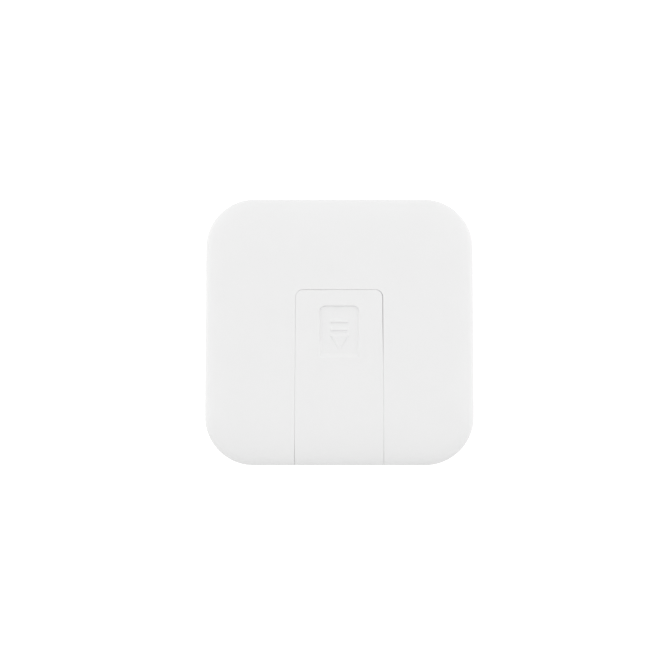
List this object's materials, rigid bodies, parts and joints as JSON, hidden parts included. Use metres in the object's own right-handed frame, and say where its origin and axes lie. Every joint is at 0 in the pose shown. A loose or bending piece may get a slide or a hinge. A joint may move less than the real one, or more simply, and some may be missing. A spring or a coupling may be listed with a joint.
{
  "type": "ceiling access point",
  "caption": "Rounded-square white indoor wireless access point with a pillowed front, a sliding cable door over its Ethernet port, and a hook-on mounting bracket.",
  "frame": {"origin": "Centre of the mounting bracket's flat back face, the face that lies on the wall or ceiling.", "axes": "+Y points into the wall or ceiling, so the front cover faces -Y. +Z points up the face, away from the end where the cable door slides off. +X completes the right-handed frame. The part is stored as it hangs on a wall. To hang it on a ceiling, turn it about X so that +Y points up."},
  "size_m": [0.12, 0.03, 0.12],
  "materials": {
    "white_shell": "fine satin moulded plastic",
    "bracket_plastic": "plain moulded plastic",
    "circuit_board": "solder mask over fibreglass",
    "port_steel": "nickel-plated sheet",
    "black_plastic": "moulded black plastic",
    "contact_gold": "gold-plated spring",
    "chip_black": "moulded epoxy",
    "ferrite": "sintered ferrite",
    "tinned_steel": "tin-plated stamped sheet",
    "thermal_rubber": "soft silicone",
    "capacitor_sleeve": "printed-free plastic sleeve",
    "lamp_lens": "clear moulded lens",
    "screw_steel": "zinc-plated",
    "label_paper": "blank film label"
  },
  "bodies": {
    "bracket": {"mounting_bracket": "bracket_plastic"},
    "unit": {"rear_housing": "white_shell", "front_shell": "white_shell", "main_pcb": "circuit_board", "ethernet_jack_shield": "port_steel", "ethernet_jack_insert": "black_plastic", "ethernet_contact_1": "contact_gold", "ethernet_contact_2": "contact_gold", "ethernet_contact_3": "contact_gold", "ethernet_contact_4": "contact_gold", "ethernet_contact_5": "contact_gold", "ethernet_contact_6": "contact_gold", "ethernet_contact_7": "contact_gold", "ethernet_contact_8": "contact_gold", "magnetics_module": "black_plastic", "power_controller": "chip_black", "power_inductor": "ferrite", "processor": "chip_black", "memory_chip": "chip_black", "flash_chip": "chip_black", "crystal": "port_steel", "reset_switch": "black_plastic", "status_led": "lamp_lens", "thermal_pad": "thermal_rubber", "rf_shield_can": "tinned_steel", "capacitor_1": "capacitor_sleeve", "capacitor_2": "capacitor_sleeve", "antenna_left": "tinned_steel", "antenna_right": "tinned_steel", "led_light_pipe": "lamp_lens", "case_screw_1": "screw_steel", "case_screw_2": "screw_steel", "case_screw_3": "screw_steel", "case_screw_4": "screw_steel", "pcb_screw_1": "screw_steel", "pcb_screw_2": "screw_steel", "pcb_screw_3": "screw_steel", "pcb_screw_4": "screw_steel", "bay_label": "label_paper"},
    "door": {"cable_door": "white_shell"},
    "reset": {"reset_button": "black_plastic"}
  },
  "joints": [
    {"name": "unit_lift", "type": "slide", "parent": "bracket", "child": "unit", "axis": [0, 0, 1], "range_m": [0, 0.009]},
    {"name": "door_slide", "type": "slide", "parent": "unit", "child": "door", "axis": [0, 0, -1], "range_m": [0, 0.088]},
    {"name": "reset_press", "type": "slide", "parent": "unit", "child": "reset", "axis": [0, 1, 0], "range_m": [0, 0.0004], "stiffness_N_per_m": 800}
  ]
}
